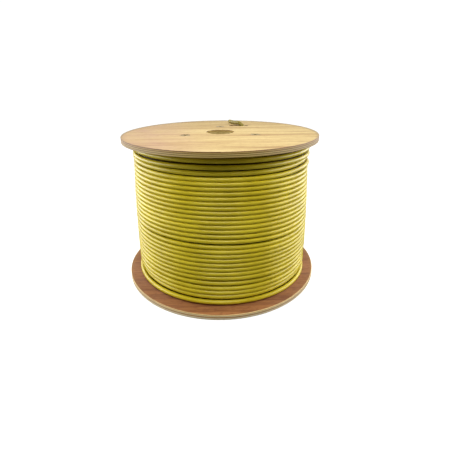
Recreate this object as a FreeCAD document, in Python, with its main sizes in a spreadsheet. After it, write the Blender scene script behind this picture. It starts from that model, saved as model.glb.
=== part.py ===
import FreeCAD, Part
import math
import os

import Sketcher
from FreeCAD import Placement, Rotation, Vector

# A plywood cable reel standing on its lower flange, wound with round data cable.
# Millimetres and degrees. The reel's axis is Z, the lower flange rests on Z = 0.

os.makedirs("parts", exist_ok=True)
document = FreeCAD.newDocument("cable_reel")

dimensions = {
    "flange_diameter": 350,
    "flange_thickness": 9,
    "reel_height": 260,
    "rim_easing": 0.8,
    "arbor_diameter": 50,
    "arbor_easing": 0.5,
    "barrel_diameter": 158,
    "barrel_wall": 4,
    "barrel_seat_depth": 3,
    "bolt_circle": 140,
    "bolt_count": 3,
    "bolt_diameter": 5.9,
    "bolt_hole": 6.6,
    "bolt_end_below_top": 3.5,
    "bolt_head_diameter": 14,
    "bolt_head_thickness": 2.4,
    "bolt_socket_across_corners": 4.6,
    "bolt_socket_depth": 1.5,
    "washer_diameter": 18,
    "washer_hole": 6.4,
    "washer_thickness": 1.2,
    "washer_recess_diameter": 20,
    "washer_recess_depth": 3.8,
    "tee_nut_diameter": 17,
    "tee_nut_plate": 1.4,
    "tee_nut_barrel_diameter": 7.8,
    "tee_nut_height": 8,
    "tee_nut_bore": 6,
    "tee_nut_recess_diameter": 17.4,
    "tee_nut_recess_depth": 1.6,
    "prong_length": 4,
    "prong_width": 2.6,
    "prong_thickness": 1.2,
    "prong_circle": 13,
    "slot_length": 40,
    "slot_width": 10,
    "slot_across": 38,
    "slot_back": 81,
    "slot_turn": -6,
    "cable_diameter": 7.5,
    "tail_clearance": 0.25,
    "winding_diameter": 312,
    "pair_diameter": 1.9,
    "pair_spacing": 2.6,
    "pair_bare_length": 3,
    "filler_thickness": 0.5,
    "filler_width": 5,
    "filler_bare_length": 2,
}

sheet = document.addObject("Spreadsheet::Sheet", "dims")
for row, (name, value) in enumerate(dimensions.items(), start=1):
    sheet.set(f"A{row}", name)
    sheet.set(f"B{row}", str(value))
    sheet.setAlias(f"B{row}", name)
document.recompute()

inner_height = "(dims.reel_height - 2 * dims.flange_thickness)"
upper_face = "(dims.reel_height - dims.flange_thickness)"
barrel_bore = "(dims.barrel_diameter - 2 * dims.barrel_wall)"
bolt_step = 360 / dimensions["bolt_count"]
first_bolt_angle = 90


# Sketches and features

def new_body(label):
    return document.addObject("PartDesign::Body", label)


def new_sketch(body, name, height="0"):
    ground = next(part for part in body.Origin.OriginFeatures if part.Role == "XY_Plane")
    sketch = body.newObject("Sketcher::SketchObject", name)
    sketch.AttachmentSupport = [(ground, "")]
    sketch.MapMode = "FlatFace"
    sketch.setExpression("AttachmentOffset.Base.z", height)
    return sketch


def add_circle(sketch, name, diameter, distance_up=None):
    """A circle about the sketch's origin, or that far up the sketch's Y axis."""
    start = Vector(0, 10 if distance_up else 0, 0)
    circle = sketch.addGeometry(Part.Circle(start, Vector(0, 0, 1), 1))
    if distance_up:
        sketch.addConstraint(Sketcher.Constraint("PointOnObject", circle, 3, -2))
        place = sketch.addConstraint(Sketcher.Constraint("DistanceY", -1, 1, circle, 3, 10))
        sketch.renameConstraint(place, name + "_distance")
        sketch.setExpression("Constraints." + name + "_distance", distance_up)
    else:
        sketch.addConstraint(Sketcher.Constraint("Coincident", circle, 3, -1, 1))
    size = sketch.addConstraint(Sketcher.Constraint("Diameter", circle, 2))
    sketch.renameConstraint(size, name)
    sketch.setExpression("Constraints." + name, diameter)


def add_slot(sketch, length, width):
    """A straight slot with round ends, along the sketch's X axis, centred on its origin."""
    r = dimensions["slot_width"] / 2
    x = dimensions["slot_length"] / 2 - r
    left = sketch.addGeometry(Part.ArcOfCircle(
        Part.Circle(Vector(-x, 0, 0), Vector(0, 0, 1), r), math.pi / 2, 3 * math.pi / 2))
    right = sketch.addGeometry(Part.ArcOfCircle(
        Part.Circle(Vector(x, 0, 0), Vector(0, 0, 1), r), -math.pi / 2, math.pi / 2))
    back = sketch.addGeometry(Part.LineSegment(Vector(x, r, 0), Vector(-x, r, 0)))
    front = sketch.addGeometry(Part.LineSegment(Vector(-x, -r, 0), Vector(x, -r, 0)))
    for first, first_end, second, second_end in (
            (right, 2, back, 1), (back, 2, left, 1), (left, 2, front, 1), (front, 2, right, 1)):
        sketch.addConstraint(Sketcher.Constraint("Tangent", first, first_end, second, second_end))
    sketch.addConstraint(Sketcher.Constraint("Symmetric", left, 3, right, 3, -1, 1))
    sketch.addConstraint(Sketcher.Constraint("PointOnObject", right, 3, -1))
    radius = sketch.addConstraint(Sketcher.Constraint("Radius", right, r))
    sketch.renameConstraint(radius, "end_radius")
    sketch.setExpression("Constraints.end_radius", f"{width} / 2")
    reach = sketch.addConstraint(Sketcher.Constraint("DistanceX", left, 3, right, 3, 2 * x))
    sketch.renameConstraint(reach, "centre_distance")
    sketch.setExpression("Constraints.centre_distance", f"{length} - {width}")


def add_pad(body, sketch, length):
    pad = body.newObject("PartDesign::Pad", sketch.Name + "_pad")
    pad.Profile = sketch
    pad.setExpression("Length", length)
    return pad


def add_pocket(body, sketch, depth, upwards):
    pocket = body.newObject("PartDesign::Pocket", sketch.Name + "_pocket")
    pocket.Profile = sketch
    pocket.Reversed = upwards
    pocket.setExpression("Length", depth)
    return pocket


def repeat_at_bolts(body, sketch, pockets):
    """Repeats the first bolt position's pockets at the others."""
    pattern = body.newObject("PartDesign::PolarPattern", sketch.Name + "_pattern")
    pattern.Originals = pockets
    pattern.Axis = (sketch, ["N_Axis"])
    pattern.Angle = 360
    pattern.setExpression("Occurrences", "dims.bolt_count")
    body.Tip = pattern


def ease_edges(body, base, radius_wanted, size):
    """Rounds the circular edges of one radius."""
    document.recompute()
    edges = [f"Edge{index}" for index, edge in enumerate(base.Shape.Edges, start=1)
             if isinstance(edge.Curve, Part.Circle)
             and abs(edge.Curve.Radius - radius_wanted) < 0.01
             and math.hypot(edge.Curve.Center.x, edge.Curve.Center.y) < 0.01]
    fillet = body.newObject("PartDesign::Fillet", f"{base.Name}_eased")
    fillet.Base = (base, edges)
    fillet.setExpression("Radius", size)
    return fillet


def ring_body(label, outer, inner, height, place):
    """A plain ring about the reel's axis, made as a padded sketch."""
    body = new_body(label)
    sketch = new_sketch(body, label + "_outline")
    add_circle(sketch, "outer", outer)
    add_circle(sketch, "inner", inner)
    add_pad(body, sketch, height)
    body.setExpression("Placement.Base.z", place)
    return body


# Flanges

def flange_blank(body, name):
    outline = new_sketch(body, name + "_outline")
    add_circle(outline, "rim", "dims.flange_diameter")
    add_circle(outline, "arbor", "dims.arbor_diameter")
    blank = add_pad(body, outline, "dims.flange_thickness")
    rim = ease_edges(body, blank, dimensions["flange_diameter"] / 2, "dims.rim_easing")
    return ease_edges(body, rim, dimensions["arbor_diameter"] / 2, "dims.arbor_easing")


def barrel_seat(body, name, face_height, upwards):
    """The routed ring that the barrel's end sits in."""
    seat = new_sketch(body, name + "_seat", face_height)
    add_circle(seat, "outside", "dims.barrel_diameter")
    add_circle(seat, "inside", barrel_bore)
    add_pocket(body, seat, "dims.barrel_seat_depth", upwards)


def make_bottom_flange():
    body = new_body("bottom_flange")
    flange_blank(body, "bottom")
    barrel_seat(body, "bottom", "dims.flange_thickness", False)
    recess = new_sketch(body, "washer_recess")
    add_circle(recess, "recess", "dims.washer_recess_diameter", "dims.bolt_circle / 2")
    recess_pocket = add_pocket(body, recess, "dims.washer_recess_depth", True)
    hole = new_sketch(body, "bolt_hole_circle")
    add_circle(hole, "hole", "dims.bolt_hole", "dims.bolt_circle / 2")
    hole_pocket = add_pocket(body, hole, "dims.flange_thickness", True)
    repeat_at_bolts(body, hole, [recess_pocket, hole_pocket])
    return body


def make_top_flange(prongs):
    """The upper flange, with its lead slot and a slit for each prong of the tee nuts."""
    body = new_body("top_flange_board")
    flange_blank(body, "top")
    barrel_seat(body, "top", "0", True)
    recess = new_sketch(body, "tee_nut_recess", "dims.flange_thickness")
    add_circle(recess, "recess", "dims.tee_nut_recess_diameter", "dims.bolt_circle / 2")
    recess_pocket = add_pocket(body, recess, "dims.tee_nut_recess_depth", False)
    hole = new_sketch(body, "tee_nut_hole", "dims.flange_thickness")
    add_circle(hole, "hole", "dims.tee_nut_barrel_diameter", "dims.bolt_circle / 2")
    hole_pocket = add_pocket(body, hole, "dims.flange_thickness", False)
    repeat_at_bolts(body, hole, [recess_pocket, hole_pocket])
    slot = new_sketch(body, "lead_slot", "dims.flange_thickness")
    add_slot(slot, "dims.slot_length", "dims.slot_width")
    slot.setExpression("AttachmentOffset.Base.x", "dims.slot_across")
    slot.setExpression("AttachmentOffset.Base.y", "dims.slot_back")
    slot.setExpression("AttachmentOffset.Rotation.Angle", "dims.slot_turn")
    slot_pocket = add_pocket(body, slot, "dims.flange_thickness", False)
    body.Tip = slot_pocket
    body.setExpression("Placement.Base.z", upper_face)
    slits = document.addObject("Part::MultiFuse", "prong_slits")
    slits.Shapes = prongs
    flange = document.addObject("Part::Cut", "top_flange")
    flange.Base = body
    flange.Tool = slits
    return flange


# Fasteners

def cylinder(name, diameter, height, z, angle):
    """A cylinder standing on the bolt circle at the given angle."""
    shape = document.addObject("Part::Cylinder", name)
    shape.setExpression("Radius", f"{diameter} / 2")
    shape.setExpression("Height", height)
    shape.setExpression("Placement.Base.x", f"dims.bolt_circle / 2 * cos({angle} deg)")
    shape.setExpression("Placement.Base.y", f"dims.bolt_circle / 2 * sin({angle} deg)")
    shape.setExpression("Placement.Base.z", z)
    return shape


def cut(label, base, tool):
    result = document.addObject("Part::Cut", label)
    result.Base = base
    result.Tool = tool
    return result


def make_prongs(number, angle):
    """Four flat prongs under one tee nut's plate."""
    prongs = []
    for quarter in range(4):
        turn = angle + 45 + 90 * quarter
        prong = document.addObject("Part::Box", f"prong_{number}_{quarter + 1}")
        prong.setExpression("Length", "dims.prong_thickness")
        prong.setExpression("Width", "dims.prong_width")
        prong.setExpression("Height", "dims.prong_length")
        centre_x = f"dims.bolt_circle / 2 * cos({angle} deg) + dims.prong_circle / 2 * cos({turn} deg)"
        centre_y = f"dims.bolt_circle / 2 * sin({angle} deg) + dims.prong_circle / 2 * sin({turn} deg)"
        prong.Placement = Placement(Vector(), Rotation(Vector(0, 0, 1), turn))
        prong.setExpression("Placement.Base.x", f"{centre_x} - dims.prong_thickness / 2 * cos({turn} deg)"
                            f" + dims.prong_width / 2 * sin({turn} deg)")
        prong.setExpression("Placement.Base.y", f"{centre_y} - dims.prong_thickness / 2 * sin({turn} deg)"
                            f" - dims.prong_width / 2 * cos({turn} deg)")
        prong.setExpression("Placement.Base.z", "dims.reel_height - dims.tee_nut_recess_depth"
                            " - dims.prong_length")
        prongs.append(prong)
    return prongs


def make_tee_nut(number, angle, prongs):
    plate = cylinder(f"tee_nut_{number}_plate", "dims.tee_nut_diameter", "dims.tee_nut_plate",
                     "dims.reel_height - dims.tee_nut_recess_depth", angle)
    barrel = cylinder(f"tee_nut_{number}_barrel", "dims.tee_nut_barrel_diameter", "dims.tee_nut_height",
                      "dims.reel_height - dims.tee_nut_recess_depth + dims.tee_nut_plate"
                      " - dims.tee_nut_height", angle)
    bore = cylinder(f"tee_nut_{number}_bore", "dims.tee_nut_bore", "2 * dims.tee_nut_height",
                    "dims.reel_height - 1.5 * dims.tee_nut_height", angle)
    solid = document.addObject("Part::MultiFuse", f"tee_nut_{number}_solid")
    solid.Shapes = [plate, barrel] + prongs
    return cut(f"tee_nut_{number}", solid, bore)


def make_washer(number, angle):
    foot = "dims.washer_recess_depth - dims.washer_thickness"
    disc = cylinder(f"washer_{number}_disc", "dims.washer_diameter", "dims.washer_thickness", foot, angle)
    hole = cylinder(f"washer_{number}_hole", "dims.washer_hole", "dims.washer_thickness", foot, angle)
    return cut(f"washer_{number}", disc, hole)


def make_bolt(number, angle):
    """A flat-headed tie bolt with a hexagon socket, up through the reel into its tee nut."""
    under_head = "dims.washer_recess_depth - dims.washer_thickness"
    foot = f"({under_head} - dims.bolt_head_thickness)"
    head = cylinder(f"bolt_{number}_head", "dims.bolt_head_diameter", "dims.bolt_head_thickness",
                    foot, angle)
    shank = cylinder(f"bolt_{number}_shank", "dims.bolt_diameter",
                     f"dims.reel_height - dims.bolt_end_below_top - {foot}", foot, angle)
    solid = document.addObject("Part::MultiFuse", f"bolt_{number}_solid")
    solid.Shapes = [head, shank]
    socket = document.addObject("Part::Prism", f"bolt_{number}_socket")
    socket.Polygon = 6
    socket.setExpression("Circumradius", "dims.bolt_socket_across_corners / 2")
    socket.setExpression("Height", "dims.bolt_socket_depth")
    socket.setExpression("Placement.Base.x", f"dims.bolt_circle / 2 * cos({angle} deg)")
    socket.setExpression("Placement.Base.y", f"dims.bolt_circle / 2 * sin({angle} deg)")
    socket.setExpression("Placement.Base.z", foot)
    return cut(f"tie_bolt_{number}", solid, socket)


# The cable's start, up through the lead slot and along the upper flange

def lying_height():
    return sheet.reel_height + sheet.cable_diameter / 2 + sheet.tail_clearance


def tail_route():
    """The points that the tail's centre line goes round, from below the upper flange to its cut end."""
    lying = lying_height()
    return [
        Vector(54.5, 79.2, lying - 17),
        Vector(42, 80.6, lying + 1.8),
        Vector(32.5, 98, lying + 0.5),
        Vector(26.5, 111, lying),
        Vector(21, 124, lying),
    ]


def rounded_path(points, arc_share=0.45):
    """Straight runs joined by tangent arcs, each taking its share of the shorter run."""
    edges = []
    start = points[0]
    for before, corner, after in zip(points, points[1:], points[2:]):
        to_before = before - corner
        to_after = after - corner
        shorter = min(to_before.Length, to_after.Length)
        to_before.normalize()
        to_after.normalize()
        half_turn = (math.pi - to_before.getAngle(to_after)) / 2
        reach = arc_share * shorter
        arc_start = corner + to_before * reach
        arc_end = corner + to_after * reach
        radius = reach / math.tan(half_turn)
        towards_centre = (to_before + to_after).normalize()
        middle = corner + towards_centre * (radius / math.cos(half_turn) - radius)
        edges.append(Part.LineSegment(start, arc_start).toShape())
        edges.append(Part.Arc(arc_start, middle, arc_end).toShape())
        print(f"tail radius {radius:.1f} mm, turn {math.degrees(2 * half_turn):.1f} degrees")
        start = arc_end
    edges.append(Part.LineSegment(start, points[-1]).toShape())
    return Part.Wire(edges)


def make_tail():
    points = tail_route()
    path = rounded_path(points)
    section = math.pi * (sheet.cable_diameter / 2) ** 2
    circle = Part.Circle(points[0], points[1] - points[0], sheet.cable_diameter / 2)
    tube = path.makePipeShell([Part.Wire(circle.toShape())], True, True)
    print(f"tail tube volume over section times length {tube.Volume / (section * path.Length):.4f}")
    margin = 2 * sheet.cable_diameter
    floor = sheet.reel_height - sheet.flange_thickness
    side = sheet.flange_diameter / 2
    buried = Part.makeBox(side, side, margin, Vector(0, 0, floor - margin))
    tail = document.addObject("Part::Feature", "start_tail")
    tail.Shape = tube.cut(buried)
    return tail


def along_tail_end():
    """The placement at the tail's cut end, with Z along the cable."""
    points = tail_route()
    return Placement(points[-1], Rotation(Vector(0, 0, 1), points[-1] - points[-2]))


def make_pair(name, across, up):
    """One twisted pair, as its outer shape, standing out of the cut jacket."""
    pair = document.addObject("Part::Cylinder", name)
    pair.setExpression("Radius", "dims.pair_diameter / 2")
    pair.setExpression("Height", "dims.pair_bare_length")
    offset = Vector(across * sheet.pair_spacing / 2, up * sheet.pair_spacing / 2, 0)
    pair.Placement = along_tail_end().multiply(Placement(offset, Rotation()))
    return pair


def make_filler():
    """The cross-shaped filler that keeps the four pairs apart."""
    blades = []
    for name, width, depth in (("flat", "dims.filler_width", "dims.filler_thickness"),
                               ("upright", "dims.filler_thickness", "dims.filler_width")):
        blade = document.addObject("Part::Box", f"filler_{name}")
        blade.setExpression("Length", width)
        blade.setExpression("Width", depth)
        blade.setExpression("Height", "dims.filler_bare_length")
        blade.setExpression("Placement.Base.x", f"-{width} / 2")
        blade.setExpression("Placement.Base.y", f"-{depth} / 2")
        blades.append(blade)
    filler = document.addObject("Part::MultiFuse", "tail_filler")
    filler.Shapes = blades
    filler.Placement = along_tail_end()
    return filler


# Assembly

nodes = [
    make_bottom_flange(),
    ring_body("barrel_tube", "dims.barrel_diameter", barrel_bore,
              f"{inner_height} + 2 * dims.barrel_seat_depth",
              "dims.flange_thickness - dims.barrel_seat_depth"),
    ring_body("cable_inner_layers", "dims.winding_diameter - 2 * dims.cable_diameter",
              "dims.barrel_diameter", inner_height, "dims.flange_thickness"),
    ring_body("cable_outer_layer", "dims.winding_diameter",
              "dims.winding_diameter - 2 * dims.cable_diameter", inner_height,
              "dims.flange_thickness"),
]

all_prongs = []
for number in range(1, dimensions["bolt_count"] + 1):
    angle = first_bolt_angle + (number - 1) * bolt_step
    prongs = make_prongs(number, angle)
    all_prongs += prongs
    nodes.append(make_tee_nut(number, angle, prongs))
    nodes.append(make_washer(number, angle))
    nodes.append(make_bolt(number, angle))

nodes.append(make_top_flange(all_prongs))
nodes.append(make_tail())
for colour, across, up in (("blue", -1, 1), ("orange", 1, 1), ("green", -1, -1), ("brown", 1, -1)):
    nodes.append(make_pair(f"tail_pair_{colour}", across, up))
nodes.append(make_filler())
document.recompute()

for item in document.Objects:
    if "Invalid" in item.State or "Error" in item.State:
        raise RuntimeError(f"{item.Name} did not recompute: {item.State}")
for node in nodes:
    if node.Shape.isNull() or not node.Shape.isValid() or node.Shape.Volume <= 0:
        raise RuntimeError(f"{node.Label} is not a good solid")
for node in nodes:
    node.Shape.exportStep(f"parts/{node.Label}.step")
    print(f"{node.Label}: {node.Shape.Volume / 1000:.3f} cm3, {len(node.Shape.Solids)} solid")
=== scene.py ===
import math
import bpy
import bmesh
from mathutils import Matrix, Vector, noise


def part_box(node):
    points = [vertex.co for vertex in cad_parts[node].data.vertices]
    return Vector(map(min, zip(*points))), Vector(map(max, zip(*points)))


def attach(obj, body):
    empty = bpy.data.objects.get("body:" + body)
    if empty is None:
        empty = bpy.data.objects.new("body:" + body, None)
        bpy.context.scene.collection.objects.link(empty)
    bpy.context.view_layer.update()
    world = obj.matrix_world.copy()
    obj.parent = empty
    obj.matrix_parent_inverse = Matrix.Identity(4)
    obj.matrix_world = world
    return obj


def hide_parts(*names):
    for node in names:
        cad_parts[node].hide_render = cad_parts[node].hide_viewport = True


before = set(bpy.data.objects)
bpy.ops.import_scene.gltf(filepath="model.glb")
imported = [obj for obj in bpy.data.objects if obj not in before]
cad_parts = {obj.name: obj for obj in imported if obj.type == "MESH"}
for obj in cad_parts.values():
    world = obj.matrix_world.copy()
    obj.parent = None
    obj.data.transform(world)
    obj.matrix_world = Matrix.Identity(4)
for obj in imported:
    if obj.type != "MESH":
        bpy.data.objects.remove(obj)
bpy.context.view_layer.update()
scene = bpy.context.scene
mm = 0.001
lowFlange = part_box("bottom_flange")
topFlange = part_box("top_flange")
print("frame loaded,", len(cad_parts), "pieces")


def linear(hexColour):  # sRGB hex to the linear colour that shaders use
    channels = [int(hexColour[i:i + 2], 16) / 255 for i in (1, 3, 5)]
    return tuple(c / 12.92 if c <= 0.04045 else ((c + 0.055) / 1.055) ** 2.4 for c in channels) + (1,)


def addNode(tree, kind, values=None, links=None, stops=None, **settings):
    node = tree.nodes.new("ShaderNode" + kind)
    for name, value in settings.items():
        setattr(node, name, value)
    for name, value in (values or {}).items():
        node.inputs[name].default_value = value
    for name, source in (links or {}).items():
        tree.links.new(source, node.inputs[name])
    for index, (place, colour) in enumerate(stops or []):  # a ramp starts with two stops
        stop = node.color_ramp.elements[index] if index < 2 else node.color_ramp.elements.new(place)
        stop.position = place
        stop.color = linear(colour)
    return node


def newMaterial(name):
    material = bpy.data.materials.new(name)
    material.use_nodes = True
    material.node_tree.nodes.clear()
    return material, material.node_tree


def finishMesh(name, bm, smoothAngle=35):
    mesh = bpy.data.meshes.new(name)
    bm.to_mesh(mesh)
    bm.free()
    mesh.shade_smooth()
    mesh.set_sharp_from_angle(angle=math.radians(smoothAngle))
    return mesh


def placePiece(name, data, slot, *replaced):
    piece = bpy.data.objects.new(name, data)
    scene.collection.objects.link(piece)
    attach(piece, "root")
    if replaced:
        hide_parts(*replaced)
    return piece


# camera, floor and light

camera = {
    "place": (0, -0.6142, 0.3541),
    "tilt": (76.254, 0.468, -1.106),  # degrees: down from level, rolled and turned a little
    "lens": 27.07,
    "sensor": 36,
    "shift": (-0.0029, -0.141),
}


def makeCamera():
    data = bpy.data.cameras.new("camera")
    data.sensor_width = camera["sensor"]
    data.lens = camera["lens"]
    data.shift_x, data.shift_y = camera["shift"]
    data.clip_start = 0.01
    eye = bpy.data.objects.new("camera", data)
    eye.location = camera["place"]
    eye.rotation_euler = [math.radians(a) for a in camera["tilt"]]
    scene.collection.objects.link(eye)
    scene.camera = eye


studio = {
    "floorRadius": 1.6,
    "floorColour": "#C8C8C6",
    "floorShade": "#565654",  # what the floor sends back to the reel, so that the undersides stay dark
    "floorGlow": 0.72,  # seen by the camera only, so that the floor stays white
    "roomFront": 0.01,  # strength of the room's light from the front
    "roomBack": 1.0,  # and from the sides and behind
    "roomTurn": (-0.27, 0.15),  # where one becomes the other, along Y
    "ceiling": 0.35,  # share of it that comes from straight above
    "ceilingRise": (0.25, 0.85),  # where walls become ceiling, along Z
    "backdrop": 1.05,  # what the camera sees behind the reel
    "boxes": {  # place, width and height, watts
        "leftBox": ((-1.7, 0.26, 0.6), (2.6, 1.4), 42),
        "rightBox": ((1.7, 0.26, 0.6), (2.6, 1.4), 38),
        "topBox": ((0.03, -0.12, 0.66), (0.2, 0.16), 1.5),
        "frontBox": ((0.0, -0.84, 1.24), (1.0, 0.18), 8.4),
    },
    "aim": (0, 0, 0.14),
}


def addSoftbox(name, place, size, power):
    data = bpy.data.lights.new(name, "AREA")
    data.shape = "RECTANGLE"
    data.size, data.size_y = size
    data.energy = power
    lamp = bpy.data.objects.new(name, data)
    lamp.location = place
    lamp.rotation_euler = (Vector(studio["aim"]) - Vector(place)).to_track_quat("-Z", "Y").to_euler()
    scene.collection.objects.link(lamp)


def makeFloor():
    bm = bmesh.new()
    bmesh.ops.create_circle(bm, cap_ends=True, segments=96, radius=studio["floorRadius"])
    floor = bpy.data.objects.new("floor", finishMesh("floor", bm))
    scene.collection.objects.link(floor)
    material, tree = newMaterial("matt white acrylic sheet")  # gives a plain floor with a faint shadow
    rays = addNode(tree, "LightPath")
    glow = addNode(tree, "Math", {1: studio["floorGlow"]}, {0: rays.outputs["Is Camera Ray"]},
                   operation="MULTIPLY")
    colour = addNode(tree, "Mix", {6: linear(studio["floorShade"]), 7: linear(studio["floorColour"])},
                     {0: rays.outputs["Is Camera Ray"]}, data_type="RGBA")
    shader = addNode(tree, "BsdfPrincipled", {"Roughness": 0.9, "Emission Color": (1, 1, 1, 1)},
                     {"Base Color": colour.outputs[2], "Emission Strength": glow.outputs[0]})
    addNode(tree, "OutputMaterial", links={"Surface": shader.outputs[0]})
    floor.data.materials.append(material)


def makeRoom():
    world = bpy.data.worlds.new("studio")
    scene.world = world
    world.use_nodes = True
    tree = world.node_tree
    tree.nodes.clear()
    direction = addNode(tree, "TexCoord")
    parts = addNode(tree, "SeparateXYZ", links={"Vector": direction.outputs["Generated"]})
    frontEnds, backStarts = studio["roomTurn"]
    depth = addNode(tree, "MapRange", {"From Min": frontEnds, "From Max": backStarts,
                                       "To Min": studio["roomFront"], "To Max": studio["roomBack"]},
                    {"Value": parts.outputs["Y"]}, interpolation_type="SMOOTHSTEP")
    wallEnds, ceilingStarts = studio["ceilingRise"]
    rise = addNode(tree, "MapRange", {"From Min": wallEnds, "From Max": ceilingStarts, "To Min": 1,
                                      "To Max": studio["ceiling"]},
                   {"Value": parts.outputs["Z"]}, interpolation_type="SMOOTHSTEP")
    strength = addNode(tree, "Math", links={0: depth.outputs[0], 1: rise.outputs[0]}, operation="MULTIPLY")
    room = addNode(tree, "Background", {"Color": (1, 1, 1, 1)}, {"Strength": strength.outputs[0]})
    backdrop = addNode(tree, "Background", {"Color": (1, 1, 1, 1), "Strength": studio["backdrop"]})
    rays = addNode(tree, "LightPath")
    both = addNode(tree, "MixShader", links={"Fac": rays.outputs["Is Camera Ray"]})
    tree.links.new(room.outputs[0], both.inputs[1])
    tree.links.new(backdrop.outputs[0], both.inputs[2])
    addNode(tree, "OutputWorld", links={"Surface": both.outputs[0]})
    scene.view_settings.view_transform = "Standard"


makeCamera()
makeFloor()
for boxName, (place, size, power) in studio["boxes"].items():
    addSoftbox(boxName, place, size, power)
makeRoom()
print("camera and studio made")


# cable jacket

cable = {
    "diameter": 7.5 * mm,
    "lay": 13 * mm,  # the twisted pairs show through the jacket at this spacing
    "patch": 45 * mm,  # length of a paler or deeper stretch of jacket
    "scuff": 2.4 * mm,  # handling marks, drawn coarser than the real ones so that they show
    "jacket": "#DCC826",
    "jacketDeep": "#CCB716",
    "buried": ("#4A3A06", "#5A480A"),  # the layers underneath, drawn dark as painted shade, so that the gaps between turns read deep
    "shine": 0.55,
    "buriedShine": 0.05,  # low shine, so that the gaps stay dark
    "thinned": 0.94,  # drawn thinner than the real cable, only so that a dark gap shows between turns
    "roughness": (0.25, 0.43),  # on a rubbed spot and on a scuffed one
    "scuffRelief": (0.06, 0.1 * mm),  # strength and depth
    "twistRelief": (0.1, 0.2 * mm),
}


def jacketMaterial(name, length=None, colours=(cable["jacketDeep"], cable["jacket"]),
                   shine=cable["shine"]):
    # soft PVC, extruded: satin and waxy, saturated where light bounces in the grooves;
    # length is given for a piece with a map of its own along the cable
    material, tree = newMaterial(name)
    where = addNode(tree, "TexCoord")
    patches = addNode(tree, "TexNoise", {"Scale": 1 / cable["patch"], "Detail": 3},
                      {"Vector": where.outputs["Object"]})
    scuffs = addNode(tree, "TexNoise", {"Scale": 1 / cable["scuff"], "Detail": 4, "Roughness": 0.6},
                     {"Vector": where.outputs["Object"]})
    tone = addNode(tree, "ValToRGB", links={"Fac": patches.outputs["Fac"]},
                   stops=[(0.35, colours[0]), (0.65, colours[1])])
    rubbed, scuffed = cable["roughness"]
    sheen = addNode(tree, "MapRange", {"From Min": 0.3, "From Max": 0.75, "To Min": rubbed,
                                       "To Max": scuffed}, {"Value": scuffs.outputs["Fac"]})
    strength, depth = cable["scuffRelief"]
    relief = addNode(tree, "Bump", {"Strength": strength, "Distance": depth},
                     {"Height": scuffs.outputs["Fac"]})
    if length:  # such a piece also shows the pairs' twist
        turned = addNode(tree, "Mapping", {"Scale": (length / cable["lay"], 2, 1)},
                         {"Vector": where.outputs["UV"]})
        twist = addNode(tree, "TexWave", {"Scale": 2 * math.pi / 10},  # ten is the wave node's own factor
                        {"Vector": turned.outputs[0]}, bands_direction="DIAGONAL", wave_profile="SIN")
        strength, depth = cable["twistRelief"]
        relief = addNode(tree, "Bump", {"Strength": strength, "Distance": depth},
                         {"Height": twist.outputs["Fac"], "Normal": relief.outputs[0]})
    shader = addNode(tree, "BsdfPrincipled", {"IOR": 1.5, "Specular IOR Level": shine},
                     {"Base Color": tone.outputs[0], "Roughness": sheen.outputs[0],
                      "Normal": relief.outputs[0]})
    addNode(tree, "OutputMaterial", links={"Surface": shader.outputs[0]})
    return material


def cordCurve(name, points, diameter, alongSteps, sideSteps):
    curve = bpy.data.curves.new(name, "CURVE")
    curve.dimensions = "3D"
    spline = curve.splines.new("NURBS")
    spline.points.add(len(points) - 1)
    for point, place in zip(spline.points, points):
        point.co = (*place, 1)
    spline.order_u = 3
    spline.use_endpoint_u = True
    curve.resolution_u = alongSteps
    curve.twist_mode = "Z_UP"
    curve.bevel_depth = diameter / 2
    curve.bevel_resolution = sideSteps
    curve.use_fill_caps = True
    return curve


# last layer of the winding

winding = {
    "turns": 30,
    "pointsPerTurn": 24,
    "radius": 152.25 * mm,
    "firstHeight": 241.5 * mm,  # middle of the first full turn, at the front
    "pitch": 7.4 * mm,
    # where the next turn lies further down than the pitch, or nearer
    "looseSteps": {0: 1.9, 1: 1.8, 2: 1.1, 3: 0.3, 8: -0.2, 9: -0.2, 10: -0.2, 14: 0.5, 15: 0.6, 16: 1.4,
                   17: 0.6, 24: 1.1, 25: 1.3, 27: -0.2, 28: 2.2},
    "leadIn": 1.35,  # turns spent climbing from the layer beneath, close under the flange
    "leadOut": 0.45,
    "sunk": 4.5 * mm,  # how far in the climbing turn lies
    "sunkUntil": (-0.75, -0.4),  # and between which places it comes out, in turns from the first front
    "beneath": 143.2 * mm,  # radius of the middle of the cable where both ends go in
    "tuckedOver": 0.3,  # share of a turn in which they do
    "sag": 4.5 * mm,  # how far the turns hang at both sides, half way up
    "lean": 2 * mm,  # and how much lower they run on the +X side than on the other
    "belly": 3 * mm,  # how far they stand out at both sides, half way up
    "offCentre": 1.2 * mm,  # towards +X, because the layers beneath are uneven
    "wander": 0.55 * mm,
    "wanderDrift": (0.31, 1.7),  # how fast the height and the radius wander from turn to turn
    "room": 0.1 * mm,  # kept between the cable and a flange
    "strayTurns": [  # turn, degrees round from the front, spread, lift and stand-out in mm
        (0, -80, 35, -1.0, 3.4), (0, 80, 35, -0.6, 3.6), (1, -60, 35, -1.6, 2.0), (1, 75, 30, -0.8, 3.4),
        (2, -80, 30, 0.6, 1.0), (2, 20, 35, 0.0, -1.4), (2, 68, 22, 1.4, -1.6), (3, -8, 25, -0.6, -0.8),
        (3, 68, 22, 3.0, 2.4), (17, 25, 40, -0.8, -1.2), (24, 25, 30, 0.3, 0.6), (25, 30, 30, -0.6, -1.2),
        (26, -10, 22, -0.4, -0.8), (28, -70, 40, 1.2, -1.6), (28, 62, 30, 0.8, -1.4),
        (29, -75, 40, -1.0, 2.4), (29, 65, 30, -1.0, 2.2)],
}


def eased(share):  # 0 to 1 with a soft start and end
    share = max(0, min(1, share))
    return share * share * (3 - 2 * share)


def turnHeights():
    heights = [winding["firstHeight"]]
    for step in range(winding["turns"] - 1):
        heights.append(heights[-1] - winding["pitch"] - winding["looseSteps"].get(step, 0) * mm)
    return heights


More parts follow.
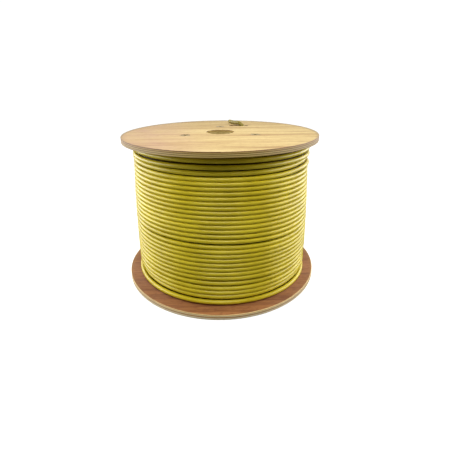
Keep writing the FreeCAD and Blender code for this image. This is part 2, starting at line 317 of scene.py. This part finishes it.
def windingPoint(place, heights):
    # place counts turns from the front of the first one, falling as it goes anticlockwise
    before = max(0, min(len(heights) - 2, math.floor(place)))
    height = heights[before] + (heights[before + 1] - heights[before]) * (place - before)
    radius = winding["radius"]
    angle = 2 * math.pi * place
    aside = math.sin(angle)
    bow = math.sin(math.pi * (height - lowFlange[1].z) / (topFlange[0].z - lowFlange[1].z))
    height -= bow * (winding["sag"] * aside ** 2 + winding["lean"] * aside)
    radius += bow * winding["belly"] * aside ** 2
    around = Vector((math.cos(angle), math.sin(angle), 0))
    heightDrift, radiusDrift = winding["wanderDrift"]
    height += winding["wander"] * noise.noise(around + Vector((0, 0, place * heightDrift)))
    # the second walk is wider and starts elsewhere, so that the two don't match
    radius += winding["wander"] * noise.noise(1.3 * around + Vector((7, 0, place * radiusDrift)))
    for turn, degrees, spread, lift, standOut in winding["strayTurns"]:
        near = math.exp(-(((place - turn) * 360 - degrees) / spread) ** 2)
        height += lift * mm * near
        radius += standOut * mm * near
    sunkFrom, sunkTo = winding["sunkUntil"]
    radius -= winding["sunk"] * (1 - eased((place - sunkFrom) / (sunkTo - sunkFrom)))
    fromStart = place + winding["leadIn"]
    toEnd = len(heights) - 1 + winding["leadOut"] - place
    tucked = eased(1 - min(fromStart, toEnd) / winding["tuckedOver"])  # 1 in the layer beneath
    radius += (winding["beneath"] - radius) * tucked
    clear = cable["diameter"] / 2 + winding["room"]
    height = max(lowFlange[1].z + clear, min(topFlange[0].z - clear, height))
    radius /= math.cos(math.pi / winding["pointsPerTurn"])  # the curve runs inside its points
    return Vector((radius * aside + winding["offCentre"], -radius * math.cos(angle), height))


def makeTurns():
    heights = turnHeights()
    total = winding["turns"] - 1 + winding["leadIn"] + winding["leadOut"]
    count = round(total * winding["pointsPerTurn"])
    points = [windingPoint(-winding["leadIn"] + total * i / count, heights) for i in range(count + 1)]
    length = total * 2 * math.pi * winding["radius"]
    curve = cordCurve("cableTurns", points, cable["diameter"] * cable["thinned"], alongSteps=4, sideSteps=6)
    curve.materials.append(jacketMaterial("soft PVC jacket, wound", length))
    turns = placePiece("cableTurns", curve, "cable_jacket", "cable_outer_layer")
    print("last layer wound,", round(length, 1), "m")


makeTurns()

beneath = {
    "crest": 148.4 * mm,  # outermost radius of the layer under the last one
    "topStep": 7.6 * mm,  # under the upper flange it stops short, and the last layer starts there
    "topCrest": 141.5 * mm,
    "topEase": (2 * mm, 1 * mm),  # its shoulder under the flange, inwards and down
    "arcPoints": 5,
    "spinSteps": 144,
}


def makeUnderTurns():
    # the buried layers as one body of round turns, spun about the reel's axis
    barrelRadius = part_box("barrel_tube")[1].x
    bottom = lowFlange[1].z
    top = topFlange[0].z
    bm = bmesh.new()
    outline = [Vector((barrelRadius, 0, bottom))]
    shelf = top - beneath["topStep"]
    rows = round((shelf - bottom) / cable["diameter"])
    pitch = (shelf - bottom) / rows
    for row in range(rows):
        for step in range(beneath["arcPoints"]):
            angle = math.pi * (step + 0.5) / beneath["arcPoints"] - math.pi / 2
            outline.append(Vector((beneath["crest"] - pitch / 2 * (1 - math.cos(angle)), 0,
                                   bottom + pitch * (row + 0.5) + pitch / 2 * math.sin(angle))))
    crest = beneath["topCrest"]
    inwards, down = beneath["topEase"]
    shoulder = [(crest, shelf), (crest, top - down), (crest - inwards, top), (barrelRadius, top)]
    outline.extend(Vector((radius, 0, height)) for radius, height in shoulder)
    verts = [bm.verts.new(place) for place in outline]
    edges = [bm.edges.new(pair) for pair in zip(verts, verts[1:] + verts[:1])]
    bmesh.ops.spin(bm, geom=verts + edges, cent=(0, 0, 0), axis=(0, 0, 1), angle=2 * math.pi,
                   steps=beneath["spinSteps"], use_merge=True, use_duplicate=False)
    bmesh.ops.remove_doubles(bm, verts=bm.verts, dist=0.01 * mm)
    bmesh.ops.recalc_face_normals(bm, faces=bm.faces)
    wound = [vert for vert in bm.verts if vert.co.xy.length > barrelRadius + 1 * mm]  # not the bore
    bmesh.ops.translate(bm, verts=wound, vec=(winding["offCentre"], 0, 0))
    mesh = finishMesh("underTurns", bm, 80)
    # painted shade: the buried layers take the dark colours, standing in for the shade deep in the gaps
    mesh.materials.append(jacketMaterial("soft PVC jacket, buried layers", colours=cable["buried"],
                                         shine=cable["buriedShine"]))
    placePiece("underTurns", mesh, "cable_jacket", "cable_inner_layers")
    print("buried layers made")


makeUnderTurns()

# free start of the cable

tail = {
    "route": [(0.0518, 0.0795, 0.251), (0.042, 0.0806, 0.2658), (0.0325, 0.098, 0.2645),
              (0.0265, 0.111, 0.264), (0.021, 0.124, 0.264)],
    "tailShade": ("#75682C", "#867834"),  # painted shade: darker than the wound jacket, standing in for the shade on the free start
    "shine": 0.15,
    "curveShare": 0.96,  # length of the smooth line over that of the runs between its points
    "jacketWall": 0.7 * mm,
    "jacketLip": (0.3 * mm, 0.5 * mm),  # how far its ring reaches back and past the flat end
    "pairSpacing": 2.6 * mm,
    "wire": 0.95 * mm,
    "pairLay": 9 * mm,
    "bare": 4.5 * mm,
    "splay": 0.175,  # sideways drift of the cut wires, per length
    "wireSunk": 1 * mm,  # how far inside the jacket the wires start
    "filler": (4.6 * mm, 0.5 * mm, 2.2 * mm),  # width, thickness, bare length
    "fillerSunk": 0.5 * mm,
    "fillerEdge": 0.08 * mm,
    "mark": 0.6 * mm,  # cloudy spots left on the insulation by its extruder
    "pairs": {"blue": (-1, 1, "#2F5FA8"), "orange": (1, 1, "#D9772B"), "green": (-1, -1, "#3F8A4E"),
              "brown": (1, -1, "#7A4B2C")},
    "pale": "#E9E6DC",
}


def plainPlastic(name, colour, roughness):
    # solid-colour polyethylene insulation: smooth, a little waxy
    material, tree = newMaterial(name)
    where = addNode(tree, "TexCoord")
    marks = addNode(tree, "TexNoise", {"Scale": 1 / tail["mark"], "Detail": 2},
                    {"Vector": where.outputs["Object"]})
    sheen = addNode(tree, "MapRange", {"To Min": roughness - 0.08, "To Max": roughness + 0.1},
                    {"Value": marks.outputs["Fac"]})
    shader = addNode(tree, "BsdfPrincipled", {"Base Color": linear(colour), "IOR": 1.5},
                     {"Roughness": sheen.outputs[0]})
    addNode(tree, "OutputMaterial", links={"Surface": shader.outputs[0]})
    return material


def tailEnd():
    # stands at the cut end, Z along the cable and X level
    last, end = [Vector(p) for p in tail["route"][-2:]]
    along = (end - last).normalized()
    level = along.cross(Vector((0, 0, 1))).normalized()
    up = level.cross(along)
    turn = Matrix((level, up, along)).transposed().to_4x4()
    return Matrix.Translation(end) @ turn


def makePair(name, across, up, colour, place):
    # two insulated wires twisted round each other, splaying a little past the jacket
    curve = bpy.data.curves.new("pair" + name.capitalize(), "CURVE")
    curve.dimensions = "3D"
    curve.bevel_depth = tail["wire"] / 2
    curve.bevel_resolution = 2
    curve.use_fill_caps = True
    curve.resolution_u = 6
    count = 9
    for side in (0, 1):
        spline = curve.splines.new("NURBS")
        spline.points.add(count - 1)
        for index, point in enumerate(spline.points):
            far = tail["bare"] * (index / (count - 1)) - tail["wireSunk"]
            turn = 2 * math.pi * far / tail["pairLay"] + math.pi * side
            drift = tail["pairSpacing"] / 2 + max(0, far) * tail["splay"]
            local = Vector((across * drift + tail["wire"] / 2 * math.cos(turn),
                            up * drift + tail["wire"] / 2 * math.sin(turn), far))
            point.co = (*(place @ local), 1)
        spline.order_u = 3
        spline.use_endpoint_u = True
        spline.material_index = side
    curve.materials.append(plainPlastic(name + " polyethylene insulation", colour, 0.35))
    paleName = "pale polyethylene insulation, " + name + " pair"
    curve.materials.append(plainPlastic(paleName, tail["pale"], 0.4))
    return placePiece("pair" + name.capitalize(), curve, "insulation_" + name, "tail_pair_" + name)


def makeFiller(place):
    # the cross that keeps the pairs apart
    width, thickness, length = tail["filler"]
    bm = bmesh.new()
    for size in ((width, thickness), (thickness, width)):
        made = bmesh.ops.create_cube(bm, size=1)["verts"]
        bmesh.ops.scale(bm, verts=made, vec=(*size, length))
        bmesh.ops.translate(bm, verts=made, vec=(0, 0, length / 2 - tail["fillerSunk"]))
    bmesh.ops.bevel(bm, geom=bm.edges, offset=tail["fillerEdge"], segments=1, profile=0.5,
                    affect="EDGES", material=-1)
    bmesh.ops.transform(bm, matrix=place, verts=bm.verts)
    mesh = finishMesh("fillerCross", bm)
    mesh.materials.append(plainPlastic("natural polyethylene filler", tail["pale"], 0.45))
    return placePiece("fillerCross", mesh, "filler_plastic", "tail_filler")


def makeJacketEnd(place):
    # the cut edge of the jacket, a short ring round the pairs
    outer = cable["diameter"] / 2
    inner = outer - tail["jacketWall"]
    bm = bmesh.new()
    back, past = tail["jacketLip"]
    corners = [(inner, -back), (outer, -back), (outer, past), (inner, past)]
    verts = [bm.verts.new((radius, 0, height)) for radius, height in corners]
    edges = [bm.edges.new(pair) for pair in zip(verts, verts[1:] + verts[:1])]
    bmesh.ops.spin(bm, geom=verts + edges, cent=(0, 0, 0), axis=(0, 0, 1), angle=2 * math.pi, steps=32,
                   use_merge=True, use_duplicate=False)
    bmesh.ops.remove_doubles(bm, verts=bm.verts, dist=0.001 * mm)
    bmesh.ops.recalc_face_normals(bm, faces=bm.faces)
    bmesh.ops.transform(bm, matrix=place, verts=bm.verts)
    mesh = finishMesh("jacketEnd", bm)
    mesh.materials.append(jacketMaterial("soft PVC jacket, cut edge"))
    return placePiece("jacketEnd", mesh, "cable_jacket")


def makeTail():
    points = [Vector(p) for p in tail["route"]]
    length = sum((b - a).length for a, b in zip(points, points[1:]))
    curve = cordCurve("startTail", points, cable["diameter"], alongSteps=16, sideSteps=6)
    # painted shade: the free start takes the darker jacket colours
    curve.materials.append(jacketMaterial("soft PVC jacket, free start", length, tail["tailShade"],
                                          tail["shine"]))
    cord = placePiece("startTail", curve, "cable_jacket", "start_tail")
    place = tailEnd()
    onEnd = [makePair(name, *facts, place) for name, facts in tail["pairs"].items()]
    onEnd.append(makeFiller(place))
    onEnd.append(makeJacketEnd(place))
    length *= tail["curveShare"]
    print("free start laid,", round(length / mm), "mm")


makeTail()

# plywood

boards = {
    "top_flange": {
        "name": "birch plywood, upper flange",
        "bottom": topFlange[0].z,
        "pale": "#CBB782", "mid": "#BAA26E", "dark": "#8E6C42", "edgeTone": "#8C7A5C",
        "blushAndSheen": "#AE8A78",
        "blushAndSheenWhere": (-0.13, 0.04, -0.03),  # how much redder the wood grows along X, to each side, along Y; the growth to each side is painted sheen from the side lights
        "plies": ["#A68A4C", "#D6BE78", "#8F7438", "#DCC47E", "#8B6C30", "#D0B06A", "#6E4C2A"],
        "endGrain": "#C2B0A6",
        "seed": 3.1,
    },
    "bottom_flange": {
        "name": "birch plywood, lower flange",
        "bottom": lowFlange[0].z,
        "pale": "#C08450", "mid": "#A26C40", "dark": "#70402A", "edgeTone": "#A98257",
        # painted sheen: this face grows pinker grey towards both sides, standing in for the side lights'
        # reflection
        "blushAndSheen": "#A07A66",
        "blushAndSheenWhere": (0, 0.12, 0),
        # painted light: these plies are drawn near white, far paler than the upper flange's, standing in
        # for the light on the lower rim's front
        "plies": ["#FFEFC8", "#FFF0C8", "#CF9C62", "#FFE6B0", "#FFDC98"],
        "endGrain": "#C4B094",
        "seed": 11.4,
    },
}

veneer = {
    "figure": 15 * mm,  # width of a growth figure on the sliced face
    "streak": 2.6 * mm,  # real fibres are finer, drawn so that they show
    "pore": 1.1 * mm,  # drawn coarse too
    "stretch": 0.045,  # a figure's width over its length, along X
    "glueLine": 0.12,  # share of a ply's thickness
    "glueShare": 0.65,  # how dark it is
    "wobble": 0.35 * mm,  # how far the plies rise and fall round the rim
    "wobbleLength": 50 * mm,
    "fleck": 2.6 * mm,  # medullary rays, drawn coarser than real ones
    "fleckStretch": 0.3,
    "poreFades": (0.6, 0.7),  # where a pore begins in the noise, and where it is full
    "fleckFades": (0.52, 0.7),
    "markShare": 0.5,  # how dark pores and flecks are
    "mottle": 38 * mm,  # a cloud of redder wood
    "blushAndSheenFades": (0.002, 0.022),  # a cloud of redder wood and painted sheen
    "blushAndSheenShare": 0.9,
    "endFibre": 1.8 * mm,  # torn fibres on the rim, drawn coarse
    "edgeToneBand": 9 * mm,  # the outermost part of each face, which takes the board's edge tone
    "edgeToneShift": 7 * mm,  # wider at the back and narrower at the front
    "edgeToneShare": 0.8,
    "shadedBore": (35 * mm, 50 * mm),  # the arbor hole's wall, out to here, shows no grey end grain: painted shade, keeping the hole darker and warmer
    "greyShare": 0.75,
    "faceFrom": (0.85, 0.97),  # how level a face is before it stops being rim
    "roughness": (0.8, 0.66),  # rim and face
}


def plywoodFace(tree, board, where, spot, outward):
    # the sliced face: streaked grain, redder clouds with painted sheen at the sides, pores and flecks,
    # darker towards the edge
    alongGrain = addNode(tree, "Mapping", {"Scale": (veneer["stretch"], 1, 1),
                                           "Location": (board["seed"], board["seed"], 0)},
                         {"Vector": where.outputs["Object"]})
    figure = addNode(tree, "TexNoise", {"Scale": 1 / veneer["figure"], "Detail": 4, "Roughness": 0.55,
                                        "Distortion": 0.8},
                     {"Vector": alongGrain.outputs[0]})
    streaks = addNode(tree, "TexNoise", {"Scale": 1 / veneer["streak"], "Detail": 5, "Roughness": 0.65},
                      {"Vector": alongGrain.outputs[0]})
    pores = addNode(tree, "TexNoise", {"Scale": 1 / veneer["pore"], "Detail": 2, "Roughness": 0.5},
                    {"Vector": alongGrain.outputs[0]})
    grain = addNode(tree, "Mix", {0: 0.42}, {2: figure.outputs["Fac"], 3: streaks.outputs["Fac"]},
                    data_type="FLOAT")
    faceTone = addNode(tree, "ValToRGB", links={"Fac": grain.outputs[0]},
                       stops=[(0.36, board["dark"]), (0.66, board["pale"]), (0.5, board["mid"])])
    # painted sheen: the part that grows to each side, through the absolute X
    eitherSide = addNode(tree, "Math", links={0: spot.outputs["X"]}, operation="ABSOLUTE")
    sides = addNode(tree, "CombineXYZ", links={"X": spot.outputs["X"], "Y": eitherSide.outputs[0],
                                               "Z": spot.outputs["Y"]})
    aside = addNode(tree, "VectorMath", {1: board["blushAndSheenWhere"]}, {0: sides.outputs[0]},
                    operation="DOT_PRODUCT")
    mottle = addNode(tree, "TexNoise", {"Scale": 1 / veneer["mottle"], "Detail": 3},
                     {"Vector": where.outputs["Object"]})
    blushAndSheenFrom, blushAndSheenFull = veneer["blushAndSheenFades"]
    blushAndSheenAt = addNode(tree, "MapRange", {"From Min": blushAndSheenFrom, "From Max": blushAndSheenFull,
                                         "To Max": veneer["blushAndSheenShare"]},
                      {"Value": aside.outputs["Value"]}, interpolation_type="SMOOTHSTEP")
    blushAndSheenMottled = addNode(tree, "Math", links={0: blushAndSheenAt.outputs[0], 1: mottle.outputs["Fac"]},
                           operation="MULTIPLY")
    blushAndSheened = addNode(tree, "Mix", {7: linear(board["blushAndSheen"])},
                      {0: blushAndSheenMottled.outputs[0], 6: faceTone.outputs[0]}, data_type="RGBA")
    poreFrom, poreFull = veneer["poreFades"]
    poreMask = addNode(tree, "MapRange", {"From Min": poreFrom, "From Max": poreFull,
                                          "To Max": veneer["markShare"]},
                       {"Value": pores.outputs["Fac"]})
    pored = addNode(tree, "Mix", {7: linear(board["dark"])},
                    {0: poreMask.outputs[0], 6: blushAndSheened.outputs[2]}, data_type="RGBA")
    drawnOut = addNode(tree, "Mapping", {"Scale": (veneer["fleckStretch"], 1, 1)},
                       {"Vector": where.outputs["Object"]})
    flecks = addNode(tree, "TexNoise", {"Scale": 1 / veneer["fleck"], "Detail": 3, "Roughness": 0.6},
                     {"Vector": drawnOut.outputs[0]})
    fleckFrom, fleckFull = veneer["fleckFades"]
    fleckMask = addNode(tree, "MapRange", {"From Min": fleckFrom, "From Max": fleckFull,
                                           "To Max": veneer["markShare"]},
                        {"Value": flecks.outputs["Fac"]})
    flecked = addNode(tree, "Mix", {7: linear(board["dark"])},
                      {0: fleckMask.outputs[0], 6: pored.outputs[2]}, data_type="RGBA")
    edge = topFlange[1].x
    edgeToneAt = addNode(tree, "MapRange", {"From Min": edge - veneer["edgeToneBand"], "From Max": edge,
                                          "To Max": veneer["edgeToneShare"]},
                       {"Value": outward.outputs["Value"]}, interpolation_type="SMOOTHSTEP")
    face = addNode(tree, "Mix", {7: linear(board["edgeTone"])},
                   {0: edgeToneAt.outputs[0], 6: flecked.outputs[2]}, data_type="RGBA")
    return face.outputs[2], streaks.outputs["Fac"]


def plywoodRim(tree, board, where, spot, facing, outward):
    # plies from the height, each with its own tone, greyer where the end grain shows
    thickness = topFlange[1].z - topFlange[0].z
    count = len(board["plies"])
    waver = addNode(tree, "TexNoise", {"Scale": 1 / veneer["wobbleLength"], "Detail": 2},
                    {"Vector": where.outputs["Object"]})
    wavered = addNode(tree, "MapRange", {"To Min": -veneer["wobble"] - board["bottom"],
                                         "To Max": veneer["wobble"] - board["bottom"]},
                      {"Value": waver.outputs["Fac"]})
    height = addNode(tree, "Math", links={0: spot.outputs["Z"], 1: wavered.outputs[0]}, operation="ADD")
    layer = addNode(tree, "Math", {1: thickness}, {0: height.outputs[0]}, operation="DIVIDE")
    plyStops = [(i / count, tone) for i, tone in enumerate(board["plies"])]
    ply = addNode(tree, "ValToRGB", links={"Fac": layer.outputs[0]}, stops=plyStops)
    ply.color_ramp.interpolation = "CONSTANT"
    counted = addNode(tree, "Math", {1: count}, {0: layer.outputs[0]}, operation="MULTIPLY")
    fromGlue = addNode(tree, "Math", {1: 0.5}, {0: counted.outputs[0]}, operation="PINGPONG")
    glue = addNode(tree, "MapRange", {"From Max": veneer["glueLine"], "To Min": veneer["glueShare"],
                                      "To Max": 0},
                   {"Value": fromGlue.outputs[0]})
    glued = addNode(tree, "Mix", {7: linear(board["dark"])}, {0: glue.outputs[0], 6: ply.outputs[0]},
                    data_type="RGBA")
    sideways = addNode(tree, "Math", links={0: facing.outputs["X"]}, operation="ABSOLUTE")
    fibres = addNode(tree, "TexNoise", {"Scale": 1 / veneer["endFibre"], "Detail": 4, "Roughness": 0.7},
                     {"Vector": where.outputs["Object"]})
    rough = addNode(tree, "Math", links={0: sideways.outputs[0], 1: fibres.outputs["Fac"]},
                    operation="MULTIPLY")
    # painted shade: the grey end grain fades out towards the arbor hole
    shadedBoreTo, greyFrom = veneer["shadedBore"]
    greyed = addNode(tree, "MapRange", {"From Min": shadedBoreTo, "From Max": greyFrom,
                                        "To Max": veneer["greyShare"]},
                     {"Value": outward.outputs["Value"]})
    endGrain = addNode(tree, "MapRange", {"From Min": 0.1, "From Max": 0.6},
                       {"Value": rough.outputs[0], "To Max": greyed.outputs[0]})
    rim = addNode(tree, "Mix", {7: linear(board["endGrain"])},
                  {0: endGrain.outputs[0], 6: glued.outputs[2]}, data_type="RGBA")
    return rim.outputs[2], fibres.outputs["Fac"]


def plywoodMaterial(board):
    # bare rotary-cut birch, sanded: a matt silky face, and a layered rim with rough end grain
    material, tree = newMaterial(board["name"])
    where = addNode(tree, "TexCoord")
    spot = addNode(tree, "SeparateXYZ", links={"Vector": where.outputs["Object"]})
    facing = addNode(tree, "SeparateXYZ", links={"Vector": where.outputs["Normal"]})
    shifted = addNode(tree, "Math", {1: veneer["edgeToneShift"]}, {0: spot.outputs["Y"]}, operation="ADD")
    flatSpot = addNode(tree, "CombineXYZ", links={"X": spot.outputs["X"], "Y": shifted.outputs[0]})
    outward = addNode(tree, "VectorMath", links={0: flatSpot.outputs[0]}, operation="LENGTH")
    face, streaks = plywoodFace(tree, board, where, spot, outward)
    rim, fibres = plywoodRim(tree, board, where, spot, facing, outward)
    flat = addNode(tree, "Math", links={0: facing.outputs["Z"]}, operation="ABSOLUTE")
    rimTo, faceFrom = veneer["faceFrom"]
    onFace = addNode(tree, "MapRange", {"From Min": rimTo, "From Max": faceFrom},
                     {"Value": flat.outputs[0]})
    colour = addNode(tree, "Mix", links={0: onFace.outputs[0], 6: rim, 7: face}, data_type="RGBA")
    rimRoughness, faceRoughness = veneer["roughness"]
    roughness = addNode(tree, "MapRange", {"To Min": rimRoughness, "To Max": faceRoughness},
                        {"Value": onFace.outputs[0]})
    relief = addNode(tree, "Mix", links={0: onFace.outputs[0], 2: fibres, 3: streaks}, data_type="FLOAT")
    bump = addNode(tree, "Bump", {"Strength": 0.35, "Distance": 0.25 * mm}, {"Height": relief.outputs[0]})
    shader = addNode(tree, "BsdfPrincipled", {"IOR": 1.45, "Specular IOR Level": 0.22},
                     {"Base Color": colour.outputs[2], "Roughness": roughness.outputs[0],
                      "Normal": bump.outputs[0]})
    addNode(tree, "OutputMaterial", links={"Surface": shader.outputs[0]})
    return material


for boardNode, board in boards.items():
    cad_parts[boardNode].material_slots[0].material = plywoodMaterial(board)
print("plywood finished")

# barrel

barrel = {
    "paper": "#CFA76E",
    "seam": "#A87F52",
    "wrap": 90 * mm,  # height of one turn of the paper strip
    "fibre": 1.6 * mm,  # drawn coarse, so that it shows
}


def fibreboardMaterial():
    # spirally wound kraft board: matt brown, with a seam at every wrap
    material, tree = newMaterial("spiral-wound kraft board")
    where = addNode(tree, "TexCoord")
    spot = addNode(tree, "SeparateXYZ", links={"Vector": where.outputs["Object"]})
    angle = addNode(tree, "Math", links={0: spot.outputs["Y"], 1: spot.outputs["X"]}, operation="ARCTAN2")
    turns = addNode(tree, "Math", {1: 2 * math.pi}, {0: angle.outputs[0]}, operation="DIVIDE")
    rise = addNode(tree, "Math", {1: barrel["wrap"]}, {0: spot.outputs["Z"]}, operation="DIVIDE")
    spiral = addNode(tree, "Math", links={0: turns.outputs[0], 1: rise.outputs[0]}, operation="ADD")
    strip = addNode(tree, "Math", {1: 0.5}, {0: spiral.outputs[0]}, operation="PINGPONG")
    seam = addNode(tree, "MapRange", {"From Max": 0.02, "To Min": 1, "To Max": 0},
                   {"Value": strip.outputs[0]})
    fibres = addNode(tree, "TexNoise", {"Scale": 1 / barrel["fibre"], "Detail": 5, "Roughness": 0.7},
                     {"Vector": where.outputs["Object"]})
    tone = addNode(tree, "ValToRGB", links={"Fac": fibres.outputs["Fac"]},
                   stops=[(0.35, barrel["seam"]), (0.6, barrel["paper"])])
    colour = addNode(tree, "Mix", {7: linear(barrel["seam"])}, {0: seam.outputs[0], 6: tone.outputs[0]},
                     data_type="RGBA")
    bump = addNode(tree, "Bump", {"Strength": 0.3, "Distance": 0.2 * mm},
                   {"Height": fibres.outputs["Fac"]})
    shader = addNode(tree, "BsdfPrincipled", {"Roughness": 0.85, "Specular IOR Level": 0.25},
                     {"Base Color": colour.outputs[2], "Normal": bump.outputs[0]})
    addNode(tree, "OutputMaterial", links={"Surface": shader.outputs[0]})
    return material


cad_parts["barrel_tube"].material_slots[0].material = fibreboardMaterial()

# fasteners

fasteners = {
    "zinc": {"bright": "#B4B2AA", "dull": "#86837A", "roughness": (0.54, 0.3)},  # dull spot, bright spot
    "yellowZinc": {"bright": "#C3AE7A", "dull": "#8C7748", "roughness": (0.6, 0.36)},
    "blotch": 3 * mm,
}


def zincMaterial(name, finish):
    # electroplated steel: satin metal with cloudy blotches left by the bath
    material, tree = newMaterial(name)
    where = addNode(tree, "TexCoord")
    blotches = addNode(tree, "TexNoise", {"Scale": 1 / fasteners["blotch"], "Detail": 4, "Roughness": 0.6},
                       {"Vector": where.outputs["Object"]})
    tone = addNode(tree, "ValToRGB", links={"Fac": blotches.outputs["Fac"]},
                   stops=[(0.35, finish["dull"]), (0.6, finish["bright"])])
    dullest, brightest = finish["roughness"]
    sheen = addNode(tree, "MapRange", {"To Min": dullest, "To Max": brightest},
                    {"Value": blotches.outputs["Fac"]})
    bump = addNode(tree, "Bump", {"Strength": 0.15, "Distance": 0.05 * mm},
                   {"Height": blotches.outputs["Fac"]})
    shader = addNode(tree, "BsdfPrincipled", {"Metallic": 1.0},
                     {"Base Color": tone.outputs[0], "Roughness": sheen.outputs[0],
                      "Normal": bump.outputs[0]})
    addNode(tree, "OutputMaterial", links={"Surface": shader.outputs[0]})
    return material


plainZinc = zincMaterial("bright zinc-plated steel", fasteners["zinc"])
yellowZinc = zincMaterial("yellow passivated zinc-plated steel", fasteners["yellowZinc"])
for nodeName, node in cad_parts.items():
    if nodeName.startswith(("tie_bolt", "washer")):
        node.material_slots[0].material = plainZinc
    if nodeName.startswith("tee_nut"):
        node.material_slots[0].material = yellowZinc
print("fasteners finished")
